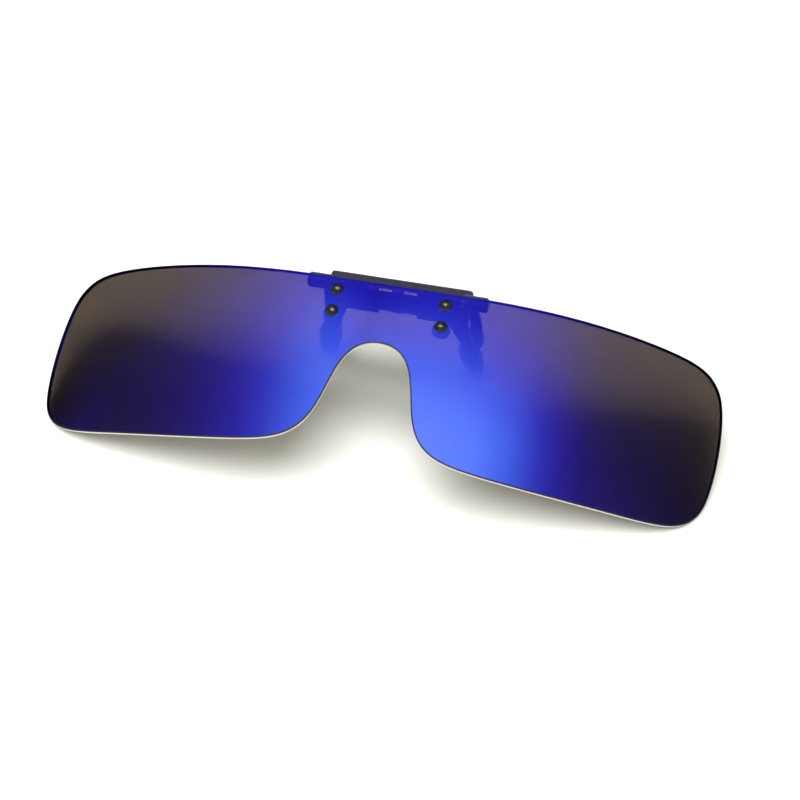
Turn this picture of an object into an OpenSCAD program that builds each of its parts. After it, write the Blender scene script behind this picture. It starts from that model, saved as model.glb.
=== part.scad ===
// Flip-up clip-on sun lens for spectacles.
// It lies on a table with the lens face up: the sleeved claws are flipped square to
// the lens and stand on the table, together with the two lower lens corners.
// Millimetres. The axis +X runs to the right of the lens, +Z is up and z = 0 is the table.

/* [Lens] */
// radius of the front face, a base 4 curve
lens_r = 130; // [90:1:200]
// thickness of the polarised sheet
lens_t = 0.8; // [0.7:0.1:1.6]
// points along each span of the edge curve
edge_steps = 4; // [2:1:8]

/* [Rest] */
// lean of the lens towards its lower edge
tilt = 20.7; // [0:0.1:35]
// height of the lens apex above the table
apex_h = 29.54; // [20:0.01:40]
// shift that brings the middle of the part onto the origin
mid_y = 11.91; // [0:0.01:20]

/* [Rivets] */
// rivet distance from the middle of the lens
rivet_x = 11; // [8:0.1:14]
// height of the upper pair on the lens
rivet_top_y = -4.7; // [-6:0.1:-3]
// height of the lower pair on the lens
rivet_low_y = -9.7; // [-12:0.1:-7]
// radius of the domed head
head_r = 1.36; // [1:0.02:2]
// height of the domed head
head_h = 0.9; // [0.5:0.05:1.5]
// radius of the shank
shank_r = 0.7; // [0.5:0.05:1]
// radius of the holes that the shanks go through
rivet_hole_r = 0.75; // [0.55:0.05:1.1]
// thickness of the soft washer behind the lens
washer_t = 0.3; // [0.2:0.05:0.6]

/* [Bracket] */
// thickness of the bracket sheet
bracket_t = 0.6; // [0.4:0.05:1]
// half width of the bracket band
band_w = 13.3; // [12:0.1:15]
// upper edge of the band
band_top = -2.2; // [-3:0.1:-2]
// lower edge of the band
band_low = -6.8; // [-8:0.1:-6]
// radius of the ear round each lower rivet
lobe_r = 1.8; // [1.4:0.05:2.2]

/* [Flip hinge] */
// height of the hinge line on the lens
flip_y = 0.3; // [-1:0.1:1]
// depth of the hinge line behind the lens apex
flip_z = -7; // [-9:0.1:-5]
// outside radius of the rolled barrels
barrel_r = 1.4; // [1:0.05:1.6]
// radius of the two hinge pins
flip_pin_r = 0.5; // [0.4:0.05:0.8]
// half length of the hinge between the outer ends of the ears
ear_end = 18.5; // [16:0.1:20]
// outside radius of the ears
ear_r = 1.55; // [1.4:0.05:1.7]
// how far the ears are rolled off centre, towards the top of the lens
ear_lift = 0.2; // [0:0.05:0.5]
// rounding of the outer ends of the ears
ear_round = 0.6; // [0.2:0.1:0.7]
// distance from the middle to the inner end of each hinge pin
pin_inner = 4.6; // [4:0.1:8]

/* [Claws] */
// thickness of the clip sheet
sheet_t = 0.7; // [0.5:0.05:1]
// plane of the front jaw
front_y = -1.3; // [-2:0.1:-1]
// plane of the rear jaw
rear_y = 2.6; // [2.4:0.1:4]
// height of the jaw pin
jaw_y = 1.2; // [0.8:0.1:1.6]
// depth of the jaw pin
jaw_z = -11.6; // [-13:0.1:-11]
// radius of the jaw pin
jaw_pin_r = 0.6; // [0.4:0.05:0.8]
// half width of the finger tab
tab_w = 14.8; // [12:0.1:16]
// rounding of the tab's corners
tab_round = 1.4; // [0.3:0.1:1.5]
// flatness of the front sleeves
front_flat = 0.7; // [0.5:0.05:1]
// flatness of the rear sleeves
rear_flat = 0.75; // [0.5:0.05:1]

/* [Spring] */
// radius of the spring wire
wire_r = 0.15; // [0.1:0.05:0.2]
// mean radius of the coil
coil_r = 0.82; // [0.76:0.02:0.86]
// number of turns
turns = 9; // [5:1:12]
// half length of the coil
coil_half = 4.7; // [4:0.1:5.2]

/* [Hidden] */
$fn = 48;
pin_play = 0.04;
bracket_front = lens_t + washer_t;
bracket_back = bracket_front + bracket_t;
lug_x = 9.8;
black = [0.07, 0.07, 0.08];
steel = [0.62, 0.62, 0.65];
rubber = [0.16, 0.16, 0.19];
nylon = [0.9, 0.9, 0.88];

// control points of the right half of the lens edge: distance round the curve, height
edge_half = [
    [8.2, -2.1], [22.6, -1.1], [39.8, -0.1], [58.9, 0.0], [65.6, -1.0], [68.6, -3.0],
    [71.2, -6.7], [72.3, -17.8], [71.4, -28.8], [69.4, -34.1], [64.3, -38.1],
    [52.2, -39.4], [40.2, -40.2], [29.0, -40.4], [17.3, -39.8], [11.8, -36.6],
    [9.1, -30.9], [7.5, -21.3], [3.9, -15.4]
];

// the half and its mirror image, in order round the lens
function both_halves(h) =
    concat(h, [for (i = [len(h) - 1:-1:0]) [-h[i][0], h[i][1]]]);

// one point of a closed uniform cubic B-spline
function bspline(c, i, u) =
    let (n = len(c))
    let (a = c[(i + n - 1) % n], b = c[i], d = c[(i + 1) % n], e = c[(i + 2) % n])
    (pow(1 - u, 3) * a + (3 * pow(u, 3) - 6 * u * u + 4) * b
        + (-3 * pow(u, 3) + 3 * u * u + 3 * u + 1) * d + pow(u, 3) * e) / 6;

// wraps a distance round the curve into a flat view
function flat_x(s) = lens_r * sin(s * 180 / (PI * lens_r));

function lens_edge() =
    let (c = both_halves(edge_half))
    [for (i = [0:len(c) - 1], k = [0:edge_steps - 1])
        let (p = bspline(c, i, k / edge_steps)) [flat_x(p[0]), p[1]]];

// brings a piece from the lens's own frame to its place on the table
module posed() {
    translate([0, mid_y, apex_h])
        rotate([tilt, 0, 0])
            children();
}

// curved sheet between two depths behind the front face
module shell(front, back) {
    translate([0, -50, -lens_r])
        rotate([-90, 0, 0])
            difference() {
                cylinder(h = 60, r = lens_r - front, $fn = 180);
                translate([0, 0, -1])
                    cylinder(h = 62, r = lens_r - back, $fn = 180);
            }
}

// puts a child on the front face at a rivet, with +Z along the face's normal
module at_rivet(sx, y) {
    lean = asin(rivet_x / lens_r);
    translate([sx * rivet_x, y, lens_r * cos(lean) - lens_r])
        rotate([0, sx * lean, 0])
            children();
}

module rivet_holes() {
    for (sx = [-1, 1], y = [rivet_top_y, rivet_low_y])
        at_rivet(sx, y)
            translate([0, 0, -5])
                cylinder(h = 7, r = rivet_hole_r);
}

module lens() {
    color([0.12, 0.2, 0.75, 0.6])
        posed()
            difference() {
                intersection() {
                    shell(0, lens_t);
                    translate([0, 0, -30])
                        linear_extrude(height = 40)
                            polygon(lens_edge());
                }
                rivet_holes();
            }
}

// flat outline of the bracket band with its two ears and the dip in its upper edge
module band_outline() {
    difference() {
        translate([-band_w, band_low])
            square([2 * band_w, band_top - band_low]);
        translate([-5.2, band_top - 1.1])
            square([10.4, 2]);
    }
    for (sx = [-1, 1]) {
        translate([sx * rivet_x, rivet_low_y])
            circle(r = lobe_r);
        translate([sx * rivet_x - 1.1, rivet_low_y])
            square([2.2, band_low - rivet_low_y + 0.5]);
    }
}

// extrudes a side profile, drawn as (y, z), across a span of x
module across(x0, x1) {
    translate([x0, 0, 0])
        rotate([90, 0, 90])
            linear_extrude(height = x1 - x0)
                children();
}

// extrudes a plan outline, drawn as (x, z), through a sheet centred on a plane of y
module sheet(y) {
    translate([0, y + sheet_t / 2, 0])
        rotate([90, 0, 0])
            linear_extrude(height = sheet_t)
                children();
}

module tube_x(x0, x1, y, z, r_out, r_in) {
    translate([x0, y, z])
        rotate([0, 90, 0])
            difference() {
                cylinder(h = x1 - x0, r = r_out);
                translate([0, 0, -1])
                    cylinder(h = x1 - x0 + 2, r = r_in);
            }
}

module rod_x(x0, x1, y, z, r) {
    translate([x0, y, z])
        rotate([0, 90, 0])
            cylinder(h = x1 - x0, r = r);
}

module lens_bracket() {
    color(black)
        posed()
            difference() {
                union() {
                    intersection() {
                        shell(bracket_front, bracket_back);
                        translate([0, 0, -8])
                            linear_extrude(height = 10)
                                band_outline();
                    }
                    for (sx = [-1, 1])
                        mirror([sx < 0 ? 1 : 0, 0, 0]) {
                            across(9.4, 13.2)
                                polygon([
                                    [-2.85, -2.35], [band_top, -2.2],
                                    [-0.3, flip_z + 0.2], [-1, flip_z - 0.2]
                                ]);
                            rod_x(9.4, 13.2, flip_y, flip_z, barrel_r);
                        }
                }
                rivet_holes();
                rod_x(-20, 20, flip_y, flip_z, flip_pin_r + pin_play);
            }
}

// domed head on the lens, shank through it and a clinched tail behind the bracket
module rivet(sx, y) {
    dome_r = (head_r * head_r + head_h * head_h) / (2 * head_h);
    color(black)
        posed()
            at_rivet(sx, y) {
                intersection() {
                    translate([0, 0, head_h - dome_r])
                        sphere(r = dome_r);
                    cylinder(h = head_h + 1, r = head_r + 0.5);
                }
                translate([0, 0, -bracket_back - 0.4])
                    cylinder(h = bracket_back + 0.5, r = shank_r);
                translate([0, 0, -bracket_back - 0.45])
                    cylinder(h = 0.44, r = 1.1);
            }
}

module rivet_ul() { rivet(-1, rivet_top_y); }
module rivet_ur() { rivet(1, rivet_top_y); }
module rivet_ll() { rivet(-1, rivet_low_y); }
module rivet_lr() { rivet(1, rivet_low_y); }

// soft washer between the lens and the bracket
module washer(sx, y) {
    color(nylon)
        posed()
            at_rivet(sx, y)
                translate([0, 0, -bracket_front + 0.01])
                    difference() {
                        cylinder(h = washer_t - 0.02, r = 1.5);
                        translate([0, 0, -1])
                            cylinder(h = 3, r = rivet_hole_r);
                    }
}

module washer_ul() { washer(-1, rivet_top_y); }
module washer_ur() { washer(1, rivet_top_y); }
module washer_ll() { washer(-1, rivet_low_y); }
module washer_lr() { washer(1, rivet_low_y); }

// metal arm of a front claw, drawn for the right side as (x, z)
module front_arm() {
    polygon([
        [10.3, -12.5], [11, -14.6], [11.7, -17], [12.7, -19.6], [13.2, -22], [13.9, -28],
        [15.1, -29.6], [16.3, -28], [15.9, -22.5], [15.1, -18.5], [14.6, -14.5], [14.5, -12.5]
    ]);
}

// metal arm of a rear claw with its gusset, drawn for the right side as (x, z)
module rear_arm() {
    polygon([[9.6, -12.9], [10.3, -15.1], [12.3, -15.9], [14.2, -15.9], [14, -12.9]]);
    polygon([
        [13.5, -13], [14.1, -15.2], [14.1, -24], [14.6, -26],
        [15.4, -26], [15.9, -24], [16.5, -20], [16.3, -17], [15.8, -13.8], [14.8, -12.4]
    ]);
}

// rolled ear of the right side, rounded at its outer end
module ear() {
    translate([13.6, flip_y + ear_lift, flip_z])
        rotate([0, 90, 0])
            rotate_extrude() {
                square([ear_r, ear_end - 13.6 - ear_round]);
                square([ear_r - ear_round, ear_end - 13.6]);
                translate([ear_r - ear_round, ear_end - 13.6 - ear_round])
                    circle(r = ear_round);
            }
}

// front jaw: a plate hung from a long slotted barrel, two ears, two claws and two lugs
module clip_base() {
    color(black)
        posed()
            difference() {
                union() {
                    sheet(front_y)
                        difference() {
                            translate([-14.6, -12.7])
                                square([29.2, 3.1]);
                            translate([-4, -13])
                                square([8, 1.7]);
                        }
                    sheet(front_y) {
                        translate([-1.2, -11.7])
                            square([2.4, 1]);
                        translate([-9.25, -10])
                            square([18.5, 10 + flip_z]);
                    }
                    rod_x(-9.25, 9.25, flip_y, flip_z, barrel_r);
                    for (sx = [-1, 1])
                        mirror([sx < 0 ? 1 : 0, 0, 0]) {
                            sheet(front_y) {
                                front_arm();
                                translate([13.6, -10])
                                    square([1.3, 10 + flip_z]);
                            }
                            ear();
                            across(9.25, 13.6)
                                translate([front_y - sheet_t / 2, -9.9])
                                    square([1.95, 0.6]);
                            across(lug_x, lug_x + sheet_t) {
                                translate([jaw_y, jaw_z])
                                    circle(r = 0.95);
                                translate([front_y - sheet_t / 2, jaw_z - 0.95])
                                    square([jaw_y - front_y + sheet_t / 2, 1.9]);
                            }
                        }
                }
                rod_x(-20, 20, flip_y, flip_z, flip_pin_r + pin_play);
                rod_x(-12, 12, jaw_y, jaw_z, jaw_pin_r + pin_play);
                for (x = [-4.1, 1.1])
                    translate([x, flip_y + 0.26, flip_z])
                        rotate([30.4, 0, 0])
                            translate([0, -0.24, -2.5])
                                cube([3, 0.48, 5]);
            }
}

// low domed head on the outer end of a pin
module pin_head(sx, x, y, z, head, dome) {
    translate([sx * x, y, z])
        rotate([0, sx * 90, 0])
            intersection() {
                translate([0, 0, dome - (head * head + dome * dome) / (2 * dome)])
                    sphere(r = (head * head + dome * dome) / (2 * dome));
                cylinder(h = dome + 1, r = head + 0.5);
            }
}

// one of the two short pins that the clip flips on
module flip_pin(sx) {
    color(steel)
        posed() {
            rod_x(sx < 0 ? -ear_end : pin_inner, sx < 0 ? -pin_inner : ear_end,
                flip_y, flip_z, flip_pin_r);
            pin_head(sx, ear_end, flip_y, flip_z, 0.76, 0.3);
        }
}

module flip_pin_l() { flip_pin(-1); }
module flip_pin_r() { flip_pin(1); }

module friction_washer(x0) {
    color(steel)
        posed()
            tube_x(x0, x0 + 0.3, flip_y, flip_z, 1.2, flip_pin_r + pin_play);
}

module friction_washer_l() { friction_washer(-13.55); }
module friction_washer_r() { friction_washer(13.25); }

// the finger tab seen along its depth, with its two upper corners rounded
module tab_outline() {
    translate([-tab_w, 0])
        square([2 * tab_w, 4.82 - tab_round]);
    translate([-tab_w + tab_round, 0])
        square([2 * (tab_w - tab_round), 4.82]);
    for (sx = [-1, 1])
        translate([sx * (tab_w - tab_round), 4.82 - tab_round])
            circle(r = tab_round);
}

module squeeze_lever() {
    color(black)
        posed()
            difference() {
                union() {
                    intersection() {
                        across(-tab_w, tab_w)
                            polygon([
                                [4.33, -8.88], [4.81, -9.38], [2.95, -11.14], [2.95, -13.2],
                                [2.25, -13.2], [2.25, -10.85]
                            ]);
                        translate([0, 0, -14])
                            linear_extrude(height = 6)
                                tab_outline();
                    }
                    for (x = [-9.65, 5.7])
                        rod_x(x, x + 3.95, jaw_y, jaw_z, 1.2);
                    for (sx = [-1, 1])
                        mirror([sx < 0 ? 1 : 0, 0, 0])
                            sheet(rear_y)
                                rear_arm();
                }
                rod_x(-12, 12, jaw_y, jaw_z, jaw_pin_r + pin_play);
                for (x = [-4.9, 0.5])
                    translate([x, 1.8, -12.2])
                        cube([4.4, 2.2, 1.97]);
            }
}

module jaw_pin() {
    half = lug_x + sheet_t + 0.03;
    color(steel)
        posed() {
            rod_x(-half, half, jaw_y, jaw_z, jaw_pin_r);
            for (sx = [-1, 1])
                pin_head(sx, half, jaw_y, jaw_z, 0.92, 0.4);
        }
}

// route of the spring wire: a leg, the coil and the other leg. Each leg leaves the coil
// straight on, and is given by its end, as a height and a depth from the jaw pin
function spring_route() =
    let (front = [-1.88, 1.8], rear = [2, 1.98], n = turns * 12)
    let (a0 = atan2(front[1], front[0]) + asin(coil_r / norm(front)))
    let (a1 = atan2(rear[1], rear[0]) + 180 - asin(coil_r / norm(rear)) - 360 * turns)
    concat(
        [[-coil_half, jaw_y + front[0], jaw_z + front[1]]],
        [for (i = [0:n])
            let (a = a0 + (a1 - a0) * i / n)
            [-coil_half + 2 * coil_half * i / n,
                jaw_y + coil_r * sin(a), jaw_z - coil_r * cos(a)]],
        [[coil_half, jaw_y + rear[0], jaw_z + rear[1]]]
    );

// direction of a route at one of its points
function heading(p, i) =
    let (d = p[min(i + 1, len(p) - 1)] - p[max(i - 1, 0)]) d / norm(d);

// round wire swept along a route that never runs along X
module wire(p, r, sides) {
    n = len(p);
    pts = [for (i = [0:n - 1], k = [0:sides - 1])
        let (t = heading(p, i))
        let (c = cross(t, [1, 0, 0]), u = c / norm(c), v = cross(t, u))
        p[i] + r * (cos(360 * k / sides) * u + sin(360 * k / sides) * v)];
    walls = [for (i = [0:n - 2], k = [0:sides - 1])
        let (a = i * sides + k, b = i * sides + (k + 1) % sides)
        [a, a + sides, b + sides, b]];
    caps = [[for (k = [0:sides - 1]) k], [for (k = [sides - 1:-1:0]) (n - 1) * sides + k]];
    polyhedron(points = pts, faces = concat(walls, caps), convexity = 8);
}

module jaw_spring() {
    color(steel)
        posed()
            wire(spring_route(), wire_r, 8);
}

// soft sleeve over a front claw
module sleeve_front(sx) {
    color(rubber)
        posed()
            mirror([sx < 0 ? 1 : 0, 0, 0])
                difference() {
                    hull()
                        for (c = [[14.35, -22, 2.1], [14.75, -25, 2.45], [15.4, -29, 2]])
                            translate([c[0], front_y, c[1]])
                                scale([1, front_flat, 1])
                                    sphere(r = c[2], $fn = 28);
                    sheet(front_y)
                        front_arm();
                }
}

module sleeve_front_l() { sleeve_front(-1); }
module sleeve_front_r() { sleeve_front(1); }

// soft sleeve over a rear claw
module sleeve_rear(sx) {
    color(rubber)
        posed()
            mirror([sx < 0 ? 1 : 0, 0, 0])
                difference() {
                    hull()
                        for (c = [[14.95, -21.6, 1.65], [15.05, -23.4, 1.8], [15, -25.8, 1.7]])
                            translate([c[0], rear_y, c[1]])
                                scale([1, rear_flat, 1])
                                    sphere(r = c[2], $fn = 28);
                    sheet(rear_y)
                        rear_arm();
                }
}

module sleeve_rear_l() { sleeve_rear(-1); }
module sleeve_rear_r() { sleeve_rear(1); }

lens();
lens_bracket();
rivet_ul();
rivet_ur();
rivet_ll();
rivet_lr();
washer_ul();
washer_ur();
washer_ll();
washer_lr();
clip_base();
flip_pin_l();
flip_pin_r();
friction_washer_l();
friction_washer_r();
squeeze_lever();
jaw_pin();
jaw_spring();
sleeve_front_l();
sleeve_front_r();
sleeve_rear_l();
sleeve_rear_r();
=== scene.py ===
import math

import bmesh
import bpy
import numpy as np
from mathutils import Matrix, Vector


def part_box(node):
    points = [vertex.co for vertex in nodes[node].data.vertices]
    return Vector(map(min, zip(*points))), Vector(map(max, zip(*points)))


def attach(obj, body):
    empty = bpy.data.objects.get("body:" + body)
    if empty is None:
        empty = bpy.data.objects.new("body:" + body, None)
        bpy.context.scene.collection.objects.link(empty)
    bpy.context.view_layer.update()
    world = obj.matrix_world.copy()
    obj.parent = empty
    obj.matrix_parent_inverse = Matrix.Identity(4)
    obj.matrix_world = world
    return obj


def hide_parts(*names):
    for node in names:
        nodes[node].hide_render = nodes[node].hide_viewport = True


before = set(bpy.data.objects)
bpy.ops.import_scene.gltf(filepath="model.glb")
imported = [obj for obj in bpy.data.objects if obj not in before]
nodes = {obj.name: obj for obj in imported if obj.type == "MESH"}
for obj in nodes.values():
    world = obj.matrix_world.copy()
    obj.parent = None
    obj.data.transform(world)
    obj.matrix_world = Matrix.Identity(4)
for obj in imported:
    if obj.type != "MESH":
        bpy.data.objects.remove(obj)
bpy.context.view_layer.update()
scene = bpy.context.scene

MM = 0.001

# ---------------------------------------------------------------- sizes
# The lens's own frame, in millimetres: X along the lens, Y up its height, Z out of its front
# face, origin at the apex of the curve on the top edge.
LENS_R = 130.0
LENS_T = 0.8
# right half of the control points of the edge: distance round the curve, height
EDGE_HALF = (
    (8.2, -2.1), (22.6, -1.1), (39.8, -0.1), (58.9, 0.0), (65.6, -1.0), (68.6, -3.0),
    (71.2, -6.7), (72.3, -17.8), (71.4, -28.8), (69.4, -34.1), (64.3, -38.1),
    (52.2, -39.4), (40.2, -40.2), (29.0, -40.4), (17.3, -39.8), (11.8, -36.6),
    (9.1, -30.9), (7.5, -21.3), (3.9, -15.4),
)
EDGE_STEPS = 14
# profile of the cut edge: how far outside the inset outline, how deep, lean of the normal
INSET = 0.27
CUT = (
    (0.0, 0.0, 0.0), (0.1, 0.008, 0.12), (0.19, 0.045, 0.5), (0.25, 0.11, 0.95),
    (INSET, 0.2, math.pi / 2), (INSET, 0.64, math.pi / 2), (0.24, 0.73, 2.1), (0.14, 0.79, 2.8),
    (0.0, LENS_T, math.pi),
)
# material slots of the lens, and the slot of each band of the cut edge; the four front bevel bands take a
# near-black paint, a painted dark reflection along the edge
MIRROR_FRONT, SMOKE_BACK, PAINTED_DARK_BEVEL, RAW_CUT = range(4)
CUT_SLOTS = (PAINTED_DARK_BEVEL,) * 4 + (RAW_CUT,) * 4
# lines that divide the flat sheet before it is bent
COLUMNS = np.arange(-72.0, 72.01, 1.5)
ROWS = (-36.0, -30.0, -24.0, -18.0, -12.0, -6.0)

RIVETS = {"ul": (-11, -4.7), "ur": (11, -4.7), "ll": (-11, -9.7), "lr": (11, -9.7)}
HOLE_R = 0.75
HOLE_SIDES = 32
HEAD_R, HEAD_H, SHANK_R = 1.36, 0.9, 0.7

# points that the two hinge lines go through, both along X
FLIP_LINE = (0, 0.3, -7.0)
JAW_LINE = (0, 1.2, -11.6)
FLIP_PIN_R, FLIP_PIN_FROM, FLIP_PIN_TO = 0.5, 4.62, 18.5
JAW_PIN_R, JAW_PIN_HALF = 0.6, 10.53

# torsion spring: coil radius, wire radius, turns, half length, and the two leg tips from the pin
COIL_R, WIRE_R, TURNS, COIL_HALF = 0.82, 0.148, 9, 4.7
FRONT_LEG, REAR_LEG = (-1.88, 1.8), (2.0, 1.98)

# sleeves: plane of the claw, flatness, and three balls as (x, z, radius)
FRONT_SLEEVE = (-1.3, 0.7, ((14.35, -22, 2.1), (14.75, -25, 2.45), (15.4, -29, 2.0)))
REAR_SLEEVE = (2.6, 0.75, ((14.95, -21.6, 1.65), (15.05, -23.4, 1.8), (15.0, -25.8, 1.7)))
RIDGE_H, RIDGE_W = 0.03, 0.035

# ---------------------------------------------------------------- where the lens's frame lies
# the two hinge pins are alike, so the middle of their boxes is a point of the flip line
LEAN = Matrix.Rotation(math.radians(20.7), 3, "X")
pin_corners = [v for side in "lr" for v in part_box("flip_pin_" + side)]
APEX = sum(pin_corners, Vector()) / 4 - LEAN @ Vector(FLIP_LINE) * MM
PLACE = Matrix.Translation(APEX) @ LEAN.to_4x4() @ Matrix.Scale(MM, 4)

# ---------------------------------------------------------------- camera
# in the lens's frame
CAMERA_AT = (83.28, -281.55, 473.22)
CAMERA_RIGHT = (0.9779, 0.2034, -0.0494)
CAMERA_FORWARD = (-0.1414, 0.4683, -0.8722)


def add_camera():
    data = bpy.data.cameras.new("camera")
    data.lens = 126
    data.sensor_width = 36
    data.clip_start = 0.01
    data.clip_end = 50
    cam = bpy.data.objects.new("camera", data)
    scene.collection.objects.link(cam)
    right = Vector(CAMERA_RIGHT).normalized()
    forward = Vector(CAMERA_FORWARD).normalized()
    forward = (forward - forward.dot(right) * right).normalized()
    turn = LEAN @ Matrix((right, right.cross(forward), -forward)).transposed()
    cam.matrix_world = Matrix.Translation(PLACE @ Vector(CAMERA_AT)) @ turn.to_4x4()
    scene.camera = cam
    scene.view_settings.view_transform = "Standard"
    scene.view_settings.look = "None"
    scene.view_settings.exposure = 0
    scene.view_settings.gamma = 1


# ---------------------------------------------------------------- node helpers
def new_material(name):
    m = bpy.data.materials.new(name)
    m.use_nodes = True
    m.node_tree.nodes.clear()
    return m, m.node_tree


def node(nt, kind, **values):
    """A new node. in_NAME sets an input by name or number, anything else a property."""
    n = nt.nodes.new(kind)
    for k, v in values.items():
        if k.startswith("in_"):
            key = k[3:].replace("_", " ")
            n.inputs[int(key) if key.isdigit() else key].default_value = v
        else:
            setattr(n, k, v)
    return n


def math_node(nt, kind, *sources, **values):
    """The result of a sum. A source is an output or a number."""
    n = node(nt, "ShaderNodeMath", operation=kind, **values)
    for i, source in enumerate(sources):
        if isinstance(source, (int, float)):
            n.inputs[i].default_value = source
        else:
            nt.links.new(source, n.inputs[i])
    return n.outputs[0]


def mix_colour(nt, factor, a, b, **values):
    """The mix of two colours. Each is an output, or None where it is set by value."""
    n = node(nt, "ShaderNodeMix", data_type="RGBA", **values)
    for name, source in (("Factor", factor), ("A", a), ("B", b)):
        if source:
            nt.links.new(source, n.inputs[name])
    return n


def mix_shader(nt, factor, a, b):
    n = node(nt, "ShaderNodeMixShader")
    for i, source in enumerate((factor, a, b)):
        nt.links.new(source, n.inputs[i])
    return n.outputs[0]


def ramp(nt, source, stops):
    """A colour ramp of (position, grey or RGB) stops."""
    r = nt.nodes.new("ShaderNodeValToRGB")
    while len(r.color_ramp.elements) < len(stops):
        r.color_ramp.elements.new(1)
    for e, (at, colour) in zip(r.color_ramp.elements, stops):
        e.position = at
        e.color = (*colour, 1) if hasattr(colour, "__len__") else (colour,) * 3 + (1,)
    nt.links.new(source, r.inputs[0])
    return r.outputs["Color"]


def noise(nt, scale, detail=2.0, stretch=None):
    where = node(nt, "ShaderNodeTexCoord")
    source = where.outputs["Object"]
    if stretch:
        m = node(nt, "ShaderNodeMapping")
        m.inputs["Scale"].default_value = stretch
        nt.links.new(source, m.inputs["Vector"])
        source = m.outputs["Vector"]
    n = node(nt, "ShaderNodeTexNoise", in_Scale=scale, in_Detail=detail)
    nt.links.new(source, n.inputs["Vector"])
    return n.outputs["Fac"]


def mottle(nt, scale, detail, low, high):
    """Two values or colours, mixed in patches."""
    return ramp(nt, noise(nt, scale, detail), [(0.3, low), (0.7, high)])


def bump(nt, heights):
    """Chains (height, distance in metres) pairs into one normal."""
    last = None
    for height, distance in heights:
        b = node(nt, "ShaderNodeBump", in_Strength=1.0, in_Distance=distance)
        nt.links.new(height, b.inputs["Height"])
        if last:
            nt.links.new(last, b.inputs["Normal"])
        last = b.outputs["Normal"]
    return last


def edge_wear(nt, radius, grain, lo, hi):
    """Rises to one along worn edges, broken up by a grain."""
    soft = node(nt, "ShaderNodeBevel", samples=4, in_Radius=radius)
    geo = node(nt, "ShaderNodeNewGeometry")
    dot = node(nt, "ShaderNodeVectorMath", operation="DOT_PRODUCT")
    nt.links.new(soft.outputs[0], dot.inputs[0])
    nt.links.new(geo.outputs["Normal"], dot.inputs[1])
    edge = ramp(nt, dot.outputs["Value"], [(0.8, 1.0), (0.985, 0.0)])
    patch = ramp(nt, noise(nt, grain, 4.0), [(lo, 0.0), (hi, 1.0)])
    return math_node(nt, "MULTIPLY", edge, patch)


def surface(nt, colour, rough, heights, **values):
    """A principled shader with its colour and roughness linked and its relief from bumps."""
    bsdf = node(nt, "ShaderNodeBsdfPrincipled", **values)
    nt.links.new(colour, bsdf.inputs["Base Color"])
    nt.links.new(rough, bsdf.inputs["Roughness"])
    nt.links.new(bump(nt, heights), bsdf.inputs["Normal"])
    return bsdf


def output(nt, shader, kind="Material"):
    out = node(nt, "ShaderNodeOutput" + kind)
    nt.links.new(shader, out.inputs[0])


# ---------------------------------------------------------------- room
def add_world():
    """White to the camera, a dim fill for the surfaces, nearly dark to the mirror."""
    world = bpy.data.worlds.new("room")
    world.use_nodes = True
    scene.world = world
    nt = world.node_tree
    nt.nodes.clear()
    path = node(nt, "ShaderNodeLightPath")
    seen = node(nt, "ShaderNodeBackground", in_Color=(1.0, 1.0, 1.0, 1), in_Strength=1.1)
    gloss = node(nt, "ShaderNodeBackground", in_Color=(0.25, 0.08, 1.0, 1), in_Strength=0.05)
    fill = node(nt, "ShaderNodeBackground", in_Color=(0.98, 1.04, 0.85, 1))
    # more fill from the front than from behind
    where = node(nt, "ShaderNodeTexCoord")
    split = node(nt, "ShaderNodeSeparateXYZ")
    nt.links.new(where.outputs["Generated"], split.inputs[0])
    strength = math_node(nt, "MULTIPLY_ADD", split.outputs["Y"], -0.34, 0.58)
    nt.links.new(strength, fill.inputs["Strength"])
    lit = mix_shader(nt, path.outputs["Is Glossy Ray"], fill.outputs[0], gloss.outputs[0])
    output(nt, mix_shader(nt, path.outputs["Is Camera Ray"], lit, seen.outputs[0]), "World")


def add_key_light():
    """Overhead, leaning to the front. The mirror shows the card instead."""
    key = bpy.data.lights.new("key", "AREA")
    key.shape = "RECTANGLE"
    key.size, key.size_y = 1.1, 1.0
    key.energy = 19.5
    key.color = (1.0, 0.995, 0.98)
    lamp = bpy.data.objects.new("key", key)
    lamp.location = (-0.1, -0.35, 0.98)
    lamp.rotation_euler = (-lamp.location).to_track_quat("-Z", "Y").to_euler()
    lamp.visible_glossy = False
    lamp.visible_camera = False
    scene.collection.objects.link(lamp)


# the card's glow across it, from x = -2 m to 2 m, and along it, from y = -1 m to 1 m
GLOW_ACROSS = [
    (0.0, 0.1), (0.05, 0.075), (0.1, 0.055), (0.15, 0.052), (0.2, 0.065), (0.245, 0.095),
    (0.28, 0.14), (0.315, 0.215), (0.345, 0.33), (0.3725, 0.49), (0.4, 0.7), (0.425, 0.87),
    (0.46, 1.0), (0.555, 1.0), (0.583, 0.79), (0.608, 0.53), (0.632, 0.31), (0.662, 0.165),
    (0.7, 0.13), (0.76, 0.15), (0.9, 0.2)]
GLOW_ALONG = [
    (0.1, 0.0), (0.22, 0.25), (0.32, 0.9), (0.36, 1.0), (0.55, 1.0), (0.56, 0.95), (0.57, 0.79),
    (0.58, 0.56), (0.59, 0.39), (0.6, 0.29), (0.62, 0.17), (0.65, 0.07), (0.7, 0.0)]
GLOW_TONE = [
    (0.0, (0.0, 0.0, 0.0)), (0.15, (0.05, 0.005, 0.17)), (0.3, (0.1, 0.035, 0.34)),
    (0.45, (0.17, 0.13, 0.51)), (0.65, (0.33, 0.43, 0.73)), (0.82, (0.54, 0.75, 0.92)),
    (0.95, (0.85, 1.05, 1.06)), (1.0, (0.95, 1.15, 1.12))]
# the far edge is a deeper blue
FAR_TINT = [(0.555, (1, 1, 1)), (0.575, (1, 0.76, 1)), (0.6, (1, 0.62, 1))]
# (where it starts, how steeply it goes) of the far edge's bend, left and right of the middle
BEND_LEFT, BEND_RIGHT = (0.2, 0.28), (0.22, 0.12)
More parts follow.
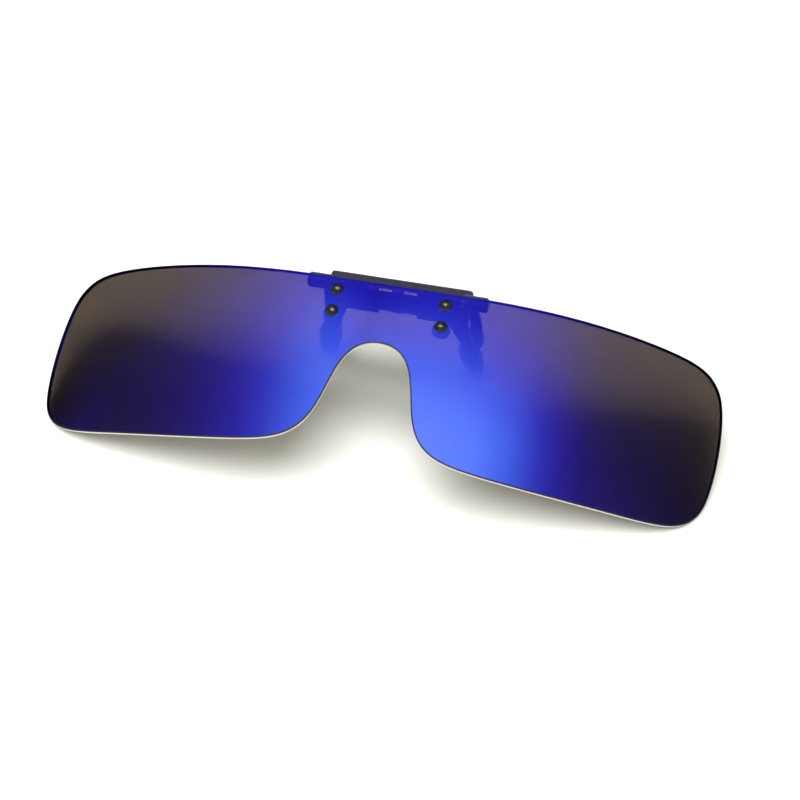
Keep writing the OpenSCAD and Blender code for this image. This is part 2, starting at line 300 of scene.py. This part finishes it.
# the lamp itself lies in front of all that the lens shows
LAMP_BOOST = 19.0
LAMP_EDGE = [(0.42, 1.0), (0.48, 0.0526)]


def add_card():
    """The soft card that the mirror coating shows. Nothing else sees it."""
    m, nt = new_material("card_glow")
    glow = node(nt, "ShaderNodeEmission")
    where = node(nt, "ShaderNodeTexCoord")
    split = node(nt, "ShaderNodeSeparateXYZ")
    nt.links.new(where.outputs["Object"], split.inputs[0])
    x, y = split.outputs["X"], split.outputs["Y"]
    bends = []
    for side, (start, slope) in ((-1.0, BEND_LEFT), (1.0, BEND_RIGHT)):
        past = math_node(nt, "SUBTRACT", math_node(nt, "MULTIPLY", x, side), start)
        bends.append(math_node(nt, "MULTIPLY", math_node(nt, "MAXIMUM", past, 0.0), slope))
    bent = math_node(nt, "SUBTRACT", y, math_node(nt, "ADD", *bends))
    across = math_node(nt, "DIVIDE", math_node(nt, "ADD", x, 2.0), 4.0)
    along = math_node(nt, "MULTIPLY", math_node(nt, "ADD", bent, 1.0), 0.5)
    level = math_node(nt, "MULTIPLY", ramp(nt, across, GLOW_ACROSS), ramp(nt, along, GLOW_ALONG))
    tone = ramp(nt, level, GLOW_TONE)
    far_tint = ramp(nt, along, FAR_TINT)
    tinted = mix_colour(nt, None, tone, far_tint, blend_type="MULTIPLY", in_Factor=1.0)
    lamp = ramp(nt, along, LAMP_EDGE)
    grey = node(nt, "ShaderNodeRGBToBW")
    nt.links.new(tone, grey.inputs[0])
    colour = mix_colour(nt, lamp, tinted.outputs["Result"], grey.outputs[0])
    nt.links.new(colour.outputs["Result"], glow.inputs["Color"])
    nt.links.new(math_node(nt, "MULTIPLY", lamp, LAMP_BOOST), glow.inputs["Strength"])
    output(nt, glow.outputs[0])
    mesh = bpy.data.meshes.new("card")
    mesh.from_pydata([(-3, -2.4, 0), (3, -2.4, 0), (3, 1.2, 0), (-3, 1.2, 0)], [], [(0, 3, 2, 1)])
    card = bpy.data.objects.new("card", mesh)
    card.data.materials.append(m)
    card.location = (0, 0, 1.03)
    card.visible_camera = False
    card.visible_diffuse = False
    card.visible_shadow = False
    card.visible_transmission = False
    scene.collection.objects.link(card)
    return card


def add_floor():
    m, nt = new_material("floor")
    bsdf = node(nt, "ShaderNodeBsdfPrincipled", in_Roughness=0.9)
    bsdf.inputs["Base Color"].default_value = (0.82, 0.82, 0.81, 1)
    bsdf.inputs["Specular IOR Level"].default_value = 0.1
    output(nt, bsdf.outputs[0])
    mesh = bpy.data.meshes.new("floor")
    mesh.from_pydata([(-4, -4, 0), (4, -4, 0), (4, 4, 0), (-4, 4, 0)], [], [(0, 1, 2, 3)])
    floor = bpy.data.objects.new("floor", mesh)
    floor.data.materials.append(m)
    scene.collection.objects.link(floor)
    return floor


# ---------------------------------------------------------------- lens
def lens_edge():
    """The closed edge of the lens as (distance round the curve, height), clockwise."""
    half = [Vector(p) for p in EDGE_HALF]
    c = half + [Vector((-p.x, p.y)) for p in reversed(half)]
    n = len(c)
    points = []
    for i in range(n):
        a, b, d, e = c[i - 1], c[i], c[(i + 1) % n], c[(i + 2) % n]
        for k in range(EDGE_STEPS):
            u = k / EDGE_STEPS
            points.append((
                (1 - u) ** 3 * a + (3 * u ** 3 - 6 * u * u + 4) * b
                + (-3 * u ** 3 + 3 * u * u + 3 * u + 1) * d + u ** 3 * e) / 6)
    return points


def hole_centres():
    """Centres of the rivet holes, in the flat sheet."""
    return [(math.asin(x / LENS_R) * LENS_R, y) for x, y in RIVETS.values()]


def flat_sheet():
    """The sheet before bending: its points, its faces and the directed edges of its border."""
    edge = lens_edge()
    n = len(edge)
    bm = bmesh.new()
    outline = []
    for i, p in enumerate(edge):
        t = (edge[(i + 1) % n] - edge[i - 1]).normalized()
        q = p - INSET * Vector((-t.y, t.x))
        outline.append(bm.verts.new((q.x, q.y, 0)))
    loops = [outline]
    for x, y in hole_centres():
        loops.append([bm.verts.new((x + HOLE_R * math.cos(a), y + HOLE_R * math.sin(a), 0))
                      for a in np.linspace(0, 2 * math.pi, HOLE_SIDES, endpoint=False)])
    edges = [bm.edges.new((loop[i], loop[(i + 1) % len(loop)])) for loop in loops for i in range(len(loop))]
    bmesh.ops.triangle_fill(bm, use_beauty=True, use_dissolve=False, edges=edges)
    cuts = [((s, 0, 0), (1, 0, 0)) for s in COLUMNS] + [((0, h, 0), (0, 1, 0)) for h in ROWS]
    for at, across in cuts:
        bmesh.ops.bisect_plane(bm, geom=bm.verts[:] + bm.edges[:] + bm.faces[:],
                               plane_co=at, plane_no=across, dist=0.0005)
    bmesh.ops.recalc_face_normals(bm, faces=bm.faces[:])
    bm.normal_update()
    if bm.faces[0].normal.z < 0:
        bmesh.ops.reverse_faces(bm, faces=bm.faces[:])
    bm.verts.index_update()
    points = [v.co.copy() for v in bm.verts]
    faces = [[v.index for v in f.verts] for f in bm.faces]
    border = []
    for e in bm.edges:
        if len(e.link_faces) == 1:
            corner = e.link_loops[0]
            border.append((corner.vert.index, corner.link_loop_next.vert.index))
    bm.free()
    return points, faces, border


def build_lens(name):
    """The bent sheet as one closed skin, with its own normals round the cut edge."""
    flat, faces, border = flat_sheet()
    after = dict(border)
    before = {b: a for a, b in border}
    out, normals, polys, slots = [], [], [], []

    def add(s, h, depth, lean, side=None):
        """A point of the flat sheet, bent and set back. Its normal leans from front to side."""
        a = s / LENS_R
        r = LENS_R - depth
        out.append(Vector((r * math.sin(a), h, r * math.cos(a) - LENS_R)))
        face = Vector((math.sin(a), 0, math.cos(a)))
        outward = Vector()
        if side is not None:
            outward = side[0] * Vector((math.cos(a), 0, -math.sin(a))) + side[1] * Vector((0, 1, 0))
        normals.append((math.cos(lean) * face + math.sin(lean) * outward).normalized())
        return len(out) - 1

    front = [add(p.x, p.y, 0, 0) for p in flat]
    back = [add(p.x, p.y, LENS_T, math.pi) for p in flat]
    for f in faces:
        polys += [[front[i] for i in f], [back[i] for i in reversed(f)]]
        slots += [MIRROR_FRONT, SMOKE_BACK]

    bands = {}
    for v in after:
        p = flat[v]
        t = (flat[after[v]] - flat[before[v]]).normalized()
        side = Vector((t.y, -t.x))
        in_hole = any((p.x - x) ** 2 + (p.y - y) ** 2 < (HOLE_R + 0.05) ** 2 for x, y in hole_centres())
        band = [front[v]]
        for d, depth, lean in CUT[1:-1]:
            if in_hole:
                d, lean = 0, math.pi / 2
            band.append(add(p.x + d * side.x, p.y + d * side.y, depth, lean, side))
        bands[v] = band + [back[v]]
    for a, b in border:
        for j, slot in enumerate(CUT_SLOTS):
            polys.append([bands[b][j], bands[a][j], bands[a][j + 1], bands[b][j + 1]])
            slots.append(slot)

    mesh = bpy.data.meshes.new(name)
    mesh.from_pydata(out, [], polys)
    mesh.polygons.foreach_set("material_index", slots)
    mesh.polygons.foreach_set("use_smooth", [True] * len(polys))
    mesh.transform(PLACE)
    mesh.update()
    mesh.normals_split_custom_set_from_vertices([LEAN @ v for v in normals])
    obj = bpy.data.objects.new(name, mesh)
    scene.collection.objects.link(obj)
    # in the order of the slots above
    obj.data.materials.append(sheet_face("mirror_front", MIRROR, False, 0.016, 0.028))
    obj.data.materials.append(sheet_face("smoke_back", (1, 1, 1), True, 0.03, 0.07))
    # the front bevel is painted near black: a painted dark reflection along the lens edge
    obj.data.materials.append(sheet_edge("lens_rim_painted_dark", (0.012, 0.009, 0.032), 0.4, 0.6))
    obj.data.materials.append(sheet_edge("lens_cut", (0.6, 0.6, 0.56), 0.25, 0.45))
    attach(obj, "lens_unit")
    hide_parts("lens")


# ---------------------------------------------------------------- pieces
def stitch(rings, closed=False):
    """Faces between rings of vertex numbers. A ring of one point closes an end."""
    faces = []
    for one, two in zip(rings, rings[1:] + (rings[:1] if closed else [])):
        sides = max(len(one), len(two))
        for k in range(sides):
            m = (k + 1) % sides
            if len(one) == 1:
                faces.append((one[0], two[m], two[k]))
            elif len(two) == 1:
                faces.append((one[k], one[m], two[0]))
            else:
                faces.append((one[k], one[m], two[m], two[k]))
    return faces


def lathe(profile, origin, axis, closed=False, sides=48):
    """Turns (radius, distance along the axis) points into a skin. Radius 0 closes an end."""
    axis = Vector(axis).normalized()
    u = axis.orthogonal().normalized()
    v = axis.cross(u)
    origin = Vector(origin)
    verts, rings = [], []
    for r, t in profile:
        ring = []
        for k in range(1 if r == 0 else sides):
            a = 2 * math.pi * k / sides
            verts.append(origin + axis * t + r * (math.cos(a) * u + math.sin(a) * v))
            ring.append(len(verts) - 1)
        rings.append(ring)
    return verts, stitch(rings, closed)


def rounded_ring(r_in, r_out, t0, t1, soft, steps=4):
    """Closed profile of a flat ring with rounded edges."""
    out = []
    for cx, cy, a0 in ((r_out - soft, t1 - soft, 0), (r_in + soft, t1 - soft, 90),
                       (r_in + soft, t0 + soft, 180), (r_out - soft, t0 + soft, 270)):
        for k in range(steps + 1):
            a = math.radians(a0 + 90 * k / steps)
            out.append((cx + soft * math.cos(a), cy + soft * math.sin(a)))
    return out


def dome(radius, height, base, steps=12, soft=0.04):
    """Profile of a low dome from its rounded rim to its top."""
    big = (radius ** 2 + height ** 2) / (2 * height)
    full = math.asin(min(1, radius / big))
    out = [(radius - soft, base), (radius - soft * 0.3, base + soft * 0.25),
           (radius - soft * 0.25, base + soft * 1.1)]
    for k in range(1, steps + 1):
        a = full * 0.93 * (1 - k / steps)
        out.append((big * math.sin(a) if k < steps else 0, base + (height - big * (1 - math.cos(a)))))
    return out


def finish_piece(name, mesh, body, replaced, material, sharp):
    """Makes the mesh an object that rides on a body in place of a CAD node."""
    for p in mesh.polygons:
        p.use_smooth = True
    mesh.set_sharp_from_angle(angle=math.radians(sharp))
    mesh.materials.append(material)
    obj = bpy.data.objects.new(name, mesh)
    scene.collection.objects.link(obj)
    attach(obj, body)
    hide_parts(replaced)
    return obj


def piece(name, skin, body, replaced, material, sharp=40):
    """A skin drawn in the lens's frame, as an object."""
    mesh = bpy.data.meshes.new(name)
    mesh.from_pydata([Vector(p) for p in skin[0]], [], skin[1])
    mesh.transform(PLACE)
    bm = bmesh.new()
    bm.from_mesh(mesh)
    bmesh.ops.recalc_face_normals(bm, faces=bm.faces[:])
    bm.to_mesh(mesh)
    bm.free()
    finish_piece(name, mesh, body, replaced, material, sharp)


def stamped(name, node_name, body, material, soft=0.07):
    """The sheet part with every sharp edge rounded over, as stamping and paint leave it."""
    src = nodes[node_name]
    bm = bmesh.new()
    bm.from_mesh(src.data)
    bm.transform(src.matrix_world)
    bmesh.ops.remove_doubles(bm, verts=bm.verts[:], dist=2e-6)
    bmesh.ops.dissolve_limit(bm, angle_limit=math.radians(0.6), verts=bm.verts[:], edges=bm.edges[:])
    keen = [e for e in bm.edges if len(e.link_faces) == 2 and e.calc_face_angle(0) > math.radians(28)]
    bmesh.ops.bevel(bm, geom=keen, offset=soft * MM, offset_type="OFFSET", segments=2, profile=0.5,
                    affect="EDGES", clamp_overlap=True)
    bmesh.ops.triangulate(bm, faces=[f for f in bm.faces if len(f.verts) > 4])
    mesh = bpy.data.meshes.new(name)
    bm.to_mesh(mesh)
    bm.free()
    obj = finish_piece(name, mesh, body, node_name, material, 50)
    obj.modifiers.new("even", "WEIGHTED_NORMAL").keep_sharp = True


def rivet_line(key):
    """Where a rivet goes through the front face, and the direction that the face looks in."""
    x, y = RIVETS[key]
    lean = math.asin(x / LENS_R)
    return (x, y, LENS_R * math.cos(lean) - LENS_R), (math.sin(lean), 0, math.cos(lean))


def rivet(key, material):
    """Domed head, shank and a clinched tail with a dimple."""
    head = dome(HEAD_R, HEAD_H, 0.005, 18, 0.07)
    tail = [(SHANK_R, 0.005), (SHANK_R, -1.71), (1.02, -1.712), (1.08, -1.76), (1.1, -1.85),
            (1.06, -1.98), (0.92, -2.09), (0.72, -2.14), (0.5, -2.13), (0.34, -2.07), (0.2, -2.03),
            (0, -2.02)]
    piece("rivet_skin_" + key, lathe(list(reversed(head)) + tail, *rivet_line(key)),
          "lens_unit", "rivet_" + key, material)


def lens_washer(key, material):
    ring = rounded_ring(0.76, 1.49, -1.085, -0.815, 0.09)
    piece("washer_skin_" + key, lathe(ring, *rivet_line(key), True),
          "lens_unit", "washer_" + key, material)


def hinge_pin(side, sx, material):
    """Rounded inner end, shank and a low outer head."""
    profile = [(0, FLIP_PIN_FROM), (0.36, FLIP_PIN_FROM), (0.44, 4.66), (0.49, 4.76), (FLIP_PIN_R, 4.9),
               (FLIP_PIN_R, FLIP_PIN_TO - 0.02)] + dome(0.76, 0.3, FLIP_PIN_TO)
    piece("hinge_pin_" + side, lathe(profile, FLIP_LINE, (sx, 0, 0), sides=40),
          "clip_unit", "flip_pin_" + side, material)


def spring_washer(side, sx, material):
    ring = rounded_ring(0.56, 1.19, 13.255, 13.545, 0.07)
    piece("friction_ring_" + side, lathe(ring, FLIP_LINE, (sx, 0, 0), True),
          "clip_unit", "friction_washer_" + side, material)


def claw_pin(material):
    """Pin with a domed head at each end."""
    head = dome(0.92, 0.4, JAW_PIN_HALF)
    profile = [(r, -t) for r, t in reversed(head)]
    profile += [(JAW_PIN_R, -JAW_PIN_HALF + 0.02), (JAW_PIN_R, JAW_PIN_HALF - 0.02)] + head
    piece("claw_pin", lathe(profile, JAW_LINE, (1, 0, 0), sides=40),
          "clip_unit", "jaw_pin", material)


def coil_spring(material):
    """Wire swept along a leg, nine turns and the other leg."""
    first = math.atan2(FRONT_LEG[1], FRONT_LEG[0]) + math.asin(COIL_R / math.hypot(*FRONT_LEG))
    last = (math.atan2(REAR_LEG[1], REAR_LEG[0]) + math.pi
            - math.asin(COIL_R / math.hypot(*REAR_LEG)) - 2 * math.pi * TURNS)
    steps, leg_steps, sides = TURNS * 36, 8, 14
    _, pin_y, pin_z = JAW_LINE
    coil = []
    for i in range(steps + 1):
        a = first + (last - first) * i / steps
        coil.append(Vector((-COIL_HALF + 2 * COIL_HALF * i / steps,
                            pin_y + COIL_R * math.sin(a), pin_z - COIL_R * math.cos(a))))
    front_tip = Vector((-COIL_HALF, pin_y + FRONT_LEG[0], pin_z + FRONT_LEG[1]))
    rear_tip = Vector((COIL_HALF, pin_y + REAR_LEG[0], pin_z + REAR_LEG[1]))
    path = [front_tip.lerp(coil[0], k / leg_steps) for k in range(leg_steps)] + coil
    path += [coil[-1].lerp(rear_tip, k / leg_steps) for k in range(1, leg_steps + 1)]
    verts, rings = [], []
    for i, p in enumerate(path):
        t = (path[min(i + 1, len(path) - 1)] - path[max(i - 1, 0)]).normalized()
        u = t.cross(Vector((1, 0, 0))).normalized()
        v = t.cross(u)
        r = WIRE_R * (0.8 if i in (0, len(path) - 1) else 1)
        rings.append(tuple(range(len(verts), len(verts) + sides)))
        for k in range(sides):
            a = 2 * math.pi * k / sides
            verts.append(p + r * (math.cos(a) * u + math.sin(a) * v))
    faces = stitch(rings) + [rings[0], rings[-1][::-1]]
    piece("claw_spring", (verts, faces), "clip_unit", "jaw_spring", material, 60)


def dipped_sleeve(name, node_name, body, shape, sx, material):
    """Skin round three balls, squashed across the claw, with a fine parting ridge."""
    plane, flat, balls = shape
    verts, rings = [], []
    rows, cols = 48, 72
    for i in range(rows + 1):
        polar = math.pi * i / rows
        ring = []
        for k in range(1 if i in (0, rows) else cols):
            a = 2 * math.pi * k / cols
            # the poles face across the claw, so the ridge runs round its outline
            d = Vector((math.sin(polar) * math.cos(a), math.cos(polar), math.sin(polar) * math.sin(a)))
            x, z, r = max(balls, key=lambda b: b[0] * d.x + b[1] * d.z + b[2])
            # a little under the full size, all of it but the ridge
            r = r - RIDGE_H + RIDGE_H * math.exp(-(d.y / RIDGE_W) ** 2)
            verts.append(Vector((sx * (x + r * d.x), plane + flat * r * d.y, z + r * d.z)))
            ring.append(len(verts) - 1)
        rings.append(ring)
    piece(name, (verts, stitch(rings)), body, node_name, material, 60)


# ---------------------------------------------------------------- materials
MIRROR = (0.09, 0.165, 0.92)
SMOKE = (0.073, 0.057, 0.045)


def black_paint():
    """Satin paint over steel, rubbed through along the edges."""
    m, nt = new_material("black_sheet")
    worn = edge_wear(nt, 0.00012, 2600, 0.52, 0.7)
    tone = mottle(nt, 420, 3.0, (0.031, 0.03, 0.046), (0.042, 0.04, 0.06))
    colour = mix_colour(nt, worn, tone, None, in_B=(0.3, 0.29, 0.28, 1))
    bsdf = surface(nt, colour.outputs["Result"], mottle(nt, 900, 4.0, 0.34, 0.52),
                   [(noise(nt, 3200, 1.0), 6e-6), (noise(nt, 14000, 3.0), 2e-6)],
                   in_Specular_IOR_Level=0.22)
    nt.links.new(worn, bsdf.inputs["Metallic"])
    output(nt, bsdf.outputs[0])
    return m


def black_nickel():
    """Dark plating with a soft gloss, a little paler where it has rubbed."""
    m, nt = new_material("rivet_black")
    worn = edge_wear(nt, 0.0001, 3200, 0.5, 0.75)
    tone = mottle(nt, 1500, 3.0, (0.006, 0.006, 0.007), (0.014, 0.014, 0.015))
    colour = mix_colour(nt, worn, tone, None, in_B=(0.07, 0.07, 0.07, 1))
    bsdf = surface(nt, colour.outputs["Result"], mottle(nt, 2500, 4.0, 0.27, 0.33),
                   [(noise(nt, 5200, 2.0), 1.2e-6), (noise(nt, 30000, 2.0), 4e-7)])
    output(nt, bsdf.outputs[0])
    return m


def bright_steel():
    """Drawn steel, with marks along the pins and fine pitting."""
    m, nt = new_material("bright_steel")
    drawn = noise(nt, 1.0, 2.0, (300, 16000, 16000))
    bsdf = surface(nt, mottle(nt, 1200, 3.0, (0.5, 0.5, 0.51), (0.64, 0.635, 0.62)),
                   mottle(nt, 1800, 4.0, 0.3, 0.44),
                   [(drawn, 1.5e-6), (noise(nt, 20000, 2.0), 1e-6)], in_Metallic=1.0)
    output(nt, bsdf.outputs[0])
    return m


def see_through(name, colour, clear, share, rough_lo, rough_hi, grain):
    """A soft clear plastic: part surface, part see-through, with a finely uneven skin."""
    m, nt = new_material(name)
    bsdf = surface(nt, mottle(nt, 600, 3.0, tuple(c * 0.95 for c in colour), colour),
                   mottle(nt, 1400, 4.0, rough_lo, rough_hi),
                   [(noise(nt, grain, 2.0), 2e-6), (noise(nt, grain * 5, 2.0), 6e-7)], in_IOR=1.5)
    gap = node(nt, "ShaderNodeBsdfTransparent")
    gap.inputs["Color"].default_value = (*clear, 1)
    haze = mottle(nt, 250, 2.0, share - 0.02, share + 0.02)
    output(nt, mix_shader(nt, haze, bsdf.outputs[0], gap.outputs[0]))
    return m


def sheet_face(name, gloss_colour, by_angle, rough_lo, rough_hi):
    """Smoke tint, with its gloss added all over, or mixed in by the angle as on bare plastic."""
    m, nt = new_material(name)
    clear = node(nt, "ShaderNodeBsdfTransparent")
    # each of the two faces takes its half of the tint
    clear.inputs["Color"].default_value = (*(math.sqrt(c) for c in SMOKE), 1)
    gloss = node(nt, "ShaderNodeBsdfAnisotropic")
    gloss.inputs["Color"].default_value = (*gloss_colour, 1)
    # faint wiping marks: longer one way than the other, and a slow change across the coating
    wiped = noise(nt, 1.0, 3.0, (260, 1900, 260))
    nt.links.new(ramp(nt, wiped, [(0.35, rough_lo), (0.7, rough_hi)]), gloss.inputs["Roughness"])
    nt.links.new(bump(nt, [(noise(nt, 60, 1.0), 4e-6), (noise(nt, 9000, 2.0), 2e-8)]),
                 gloss.inputs["Normal"])
    if by_angle:
        facing = node(nt, "ShaderNodeLayerWeight", in_Blend=0.5)
        fifth = math_node(nt, "POWER", facing.outputs["Facing"], 5.0)
        share = math_node(nt, "MULTIPLY_ADD", fifth, 0.96, 0.04)
        output(nt, mix_shader(nt, share, clear.outputs[0], gloss.outputs[0]))
    else:
        both = node(nt, "ShaderNodeAddShader")
        nt.links.new(clear.outputs[0], both.inputs[0])
        nt.links.new(gloss.outputs[0], both.inputs[1])
        output(nt, both.outputs[0])
    return m


def sheet_edge(name, colour, rough_lo, rough_hi):
    """Milled and tumbled edge of the sheet. Seen from inside the lens, its back is painted near black,
    painted shade for the look through the smoke tint.
    """
    m, nt = new_material(name)
    bsdf = surface(nt, mottle(nt, 900, 3.0, tuple(c * 0.86 for c in colour), colour),
                   mottle(nt, 2600, 3.0, rough_lo, rough_hi), [(noise(nt, 7000, 3.0), 4e-6)],
                   in_Specular_IOR_Level=0.2)
    # painted shade: the back of the edge, seen through the smoke tint, is a flat near-black
    inner = node(nt, "ShaderNodeBsdfDiffuse")
    inner.inputs["Color"].default_value = (0.01, 0.01, 0.02, 1)
    geo = node(nt, "ShaderNodeNewGeometry")
    output(nt, mix_shader(nt, geo.outputs["Backfacing"], bsdf.outputs[0], inner.outputs[0]))
    return m


# ---------------------------------------------------------------- build
add_camera()
add_world()
add_key_light()
card = add_card()
floor = add_floor()
build_lens("lens_shell")

paint, nickel, steel = black_paint(), black_nickel(), bright_steel()
nylon = see_through("clear_nylon", (0.78, 0.77, 0.72), (0.92, 0.92, 0.9), 0.4, 0.3, 0.5, 2500)
vinyl = see_through("soft_sleeve", (0.16, 0.16, 0.2), (0.7, 0.68, 0.74), 0.42, 0.22, 0.42, 1800)

stamped("bracket_skin", "lens_bracket", "lens_unit", paint)
stamped("base_skin", "clip_base", "clip_unit", paint)
stamped("lever_skin", "squeeze_lever", "rear_jaw", paint)
for key in RIVETS:
    rivet(key, nickel)
    lens_washer(key, nylon)
for side, sx in (("l", -1), ("r", 1)):
    hinge_pin(side, sx, steel)
    spring_washer(side, sx, steel)
claw_pin(steel)
coil_spring(steel)
for side, sx in (("l", -1), ("r", 1)):
    dipped_sleeve("front_pad_" + side, "sleeve_front_" + side, "clip_unit", FRONT_SLEEVE, sx, vinyl)
    dipped_sleeve("rear_pad_" + side, "sleeve_rear_" + side, "rear_jaw", REAR_SLEEVE, sx, vinyl)
